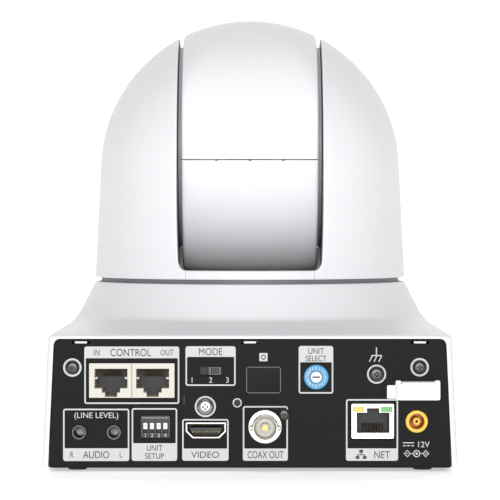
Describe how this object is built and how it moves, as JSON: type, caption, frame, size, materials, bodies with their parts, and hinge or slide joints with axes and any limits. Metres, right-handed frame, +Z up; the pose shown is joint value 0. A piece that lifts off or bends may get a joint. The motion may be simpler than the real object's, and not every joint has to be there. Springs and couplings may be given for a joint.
{
  "type": "ptz camera",
  "caption": "Pan-tilt-zoom camera: white base with a rear connector panel, a head that pans on it, and a drum with the lens that tilts between the head's arms.",
  "frame": {"origin": "on the pan axis at the surface that the feet rest on, 1.2 mm below the mouth of the tripod socket", "axes": "+Z up along the pan axis; +Y where the lens looks at rest, the connector panel faces -Y; +X to the right seen from behind"},
  "size_m": [0.1584, 0.2101, 0.1775],
  "materials": {
    "white_shell": "fine satin moulding",
    "pale_trim": "satin",
    "black_panel": "fine satin paint",
    "foot_rubber": "matte",
    "brass_insert": "turned",
    "steel_screw": "plated",
    "black_screw": "black oxide",
    "port_housing": "satin",
    "nickel_shield": "nickel plated",
    "lamp_lens": "clear coloured",
    "black_plastic": "satin",
    "gold_contact": "gold plated",
    "dark_jack": "satin",
    "yellow_jack": "satin",
    "grey_knob": "satin",
    "white_lever": "satin",
    "blue_dial": "satin",
    "infrared_window": "polished",
    "white_clamp": "satin",
    "circuit_board": "solder mask",
    "light_pipe": "frosted",
    "cast_aluminium": "die cast",
    "bearing_steel": "ground",
    "copper_winding": "enamelled copper wire",
    "magnet": "nickel plated",
    "grey_collar": "satin",
    "encoder_glass": "etched",
    "lens_black": "satin",
    "lens_glass": "coated",
    "lens_cell": "satin",
    "filter_glass": "coated"
  },
  "bodies": {
    "base": {"bottom_chassis": "black_panel", "base_cover": "white_shell", "rear_panel": "black_panel", "rubber_feet": "foot_rubber", "tripod_insert": "brass_insert", "chassis_screws": "steel_screw", "panel_screws": "black_screw", "silver_screw": "steel_screw", "serial_port_block": "port_housing", "network_socket": "nickel_shield", "network_lamps": "lamp_lens", "video_socket_shell": "nickel_shield", "video_socket_tongue": "black_plastic", "coax_socket": "nickel_shield", "coax_contact": "gold_contact", "audio_jacks": "dark_jack", "power_jack": "yellow_jack", "mode_switch_body": "black_plastic", "setup_switch_body": "black_plastic", "selector_body": "black_plastic", "rear_ir_window": "infrared_window", "clamp_base": "white_clamp", "connector_board": "circuit_board", "main_board": "circuit_board", "front_ir_window": "infrared_window", "status_light": "light_pipe", "pan_deck": "cast_aluminium", "pan_bearing": "bearing_steel", "pan_stator": "copper_winding"},
    "head": {"turntable": "grey_collar", "pan_rotor": "magnet", "left_arm_cover": "white_shell", "right_arm_cover": "white_shell", "arm_cheeks": "pale_trim", "chin_strips": "white_shell", "arm_frames": "cast_aluminium", "tilt_bearings": "bearing_steel", "tilt_stator": "copper_winding", "encoder_reader": "black_plastic"},
    "drum": {"tilt_hubs": "pale_trim", "tilt_rotor": "magnet", "encoder_disc": "encoder_glass", "drum_upper_cover": "white_shell", "drum_lower_cover": "white_shell", "drum_front_plate": "pale_trim", "lens_barrel": "lens_black", "lens_hood": "lens_black", "front_glass": "lens_glass", "lens_chassis": "cast_aluminium", "sensor_board": "circuit_board"},
    "zoom_group": {"zoom_group": "lens_cell"},
    "focus_group": {"focus_group": "lens_cell"},
    "ir_cut_filter": {"ir_cut_filter": "filter_glass"},
    "selector_dial": {"selector_dial": "blue_dial"},
    "mode_switch_knob": {"mode_switch_knob": "grey_knob"},
    "clamp_strap": {"clamp_strap": "white_clamp"},
    "setup_lever_1": {"setup_lever_1": "white_lever"},
    "setup_lever_2": {"setup_lever_2": "white_lever"},
    "setup_lever_3": {"setup_lever_3": "white_lever"},
    "setup_lever_4": {"setup_lever_4": "white_lever"}
  },
  "joints": [
    {"name": "pan", "type": "hinge", "parent": "base", "child": "head", "pos_m": [0, 0, 0.0606], "axis": [0, 0, 1], "range_deg": [-170, 170]},
    {"name": "tilt", "type": "hinge", "parent": "head", "child": "drum", "pos_m": [0, 0, 0.125], "axis": [1, 0, 0], "range_deg": [-20, 90]},
    {"name": "zoom_slide", "type": "slide", "parent": "drum", "child": "zoom_group", "axis": [0, 1, 0], "range_m": [0, 0.018]},
    {"name": "focus_slide", "type": "slide", "parent": "drum", "child": "focus_group", "axis": [0, 1, 0], "range_m": [-0.004, 0.004]},
    {"name": "filter_slide", "type": "slide", "parent": "drum", "child": "ir_cut_filter", "axis": [1, 0, 0], "range_m": [0, 0.009]},
    {"name": "selector_turn", "type": "hinge", "parent": "base", "child": "selector_dial", "pos_m": [0.0249, -0.11, 0.0355], "axis": [0, -1, 0], "continuous": true},
    {"name": "mode_slide", "type": "slide", "parent": "base", "child": "mode_switch_knob", "axis": [-1, 0, 0], "range_m": [0, 0.0034]},
    {"name": "clamp_swing", "type": "hinge", "parent": "base", "child": "clamp_strap", "pos_m": [0.063, -0.1116, 0.0332], "axis": [-1, 0, 0], "range_deg": [0, 75]},
    {"name": "setup_slide_1", "type": "slide", "parent": "base", "child": "setup_lever_1", "axis": [0, 0, -1], "range_m": [0, 0.0013]},
    {"name": "setup_slide_2", "type": "slide", "parent": "base", "child": "setup_lever_2", "axis": [0, 0, -1], "range_m": [0, 0.0013]},
    {"name": "setup_slide_3", "type": "slide", "parent": "base", "child": "setup_lever_3", "axis": [0, 0, -1], "range_m": [0, 0.0013]},
    {"name": "setup_slide_4", "type": "slide", "parent": "base", "child": "setup_lever_4", "axis": [0, 0, -1], "range_m": [0, 0.0013]}
  ]
}
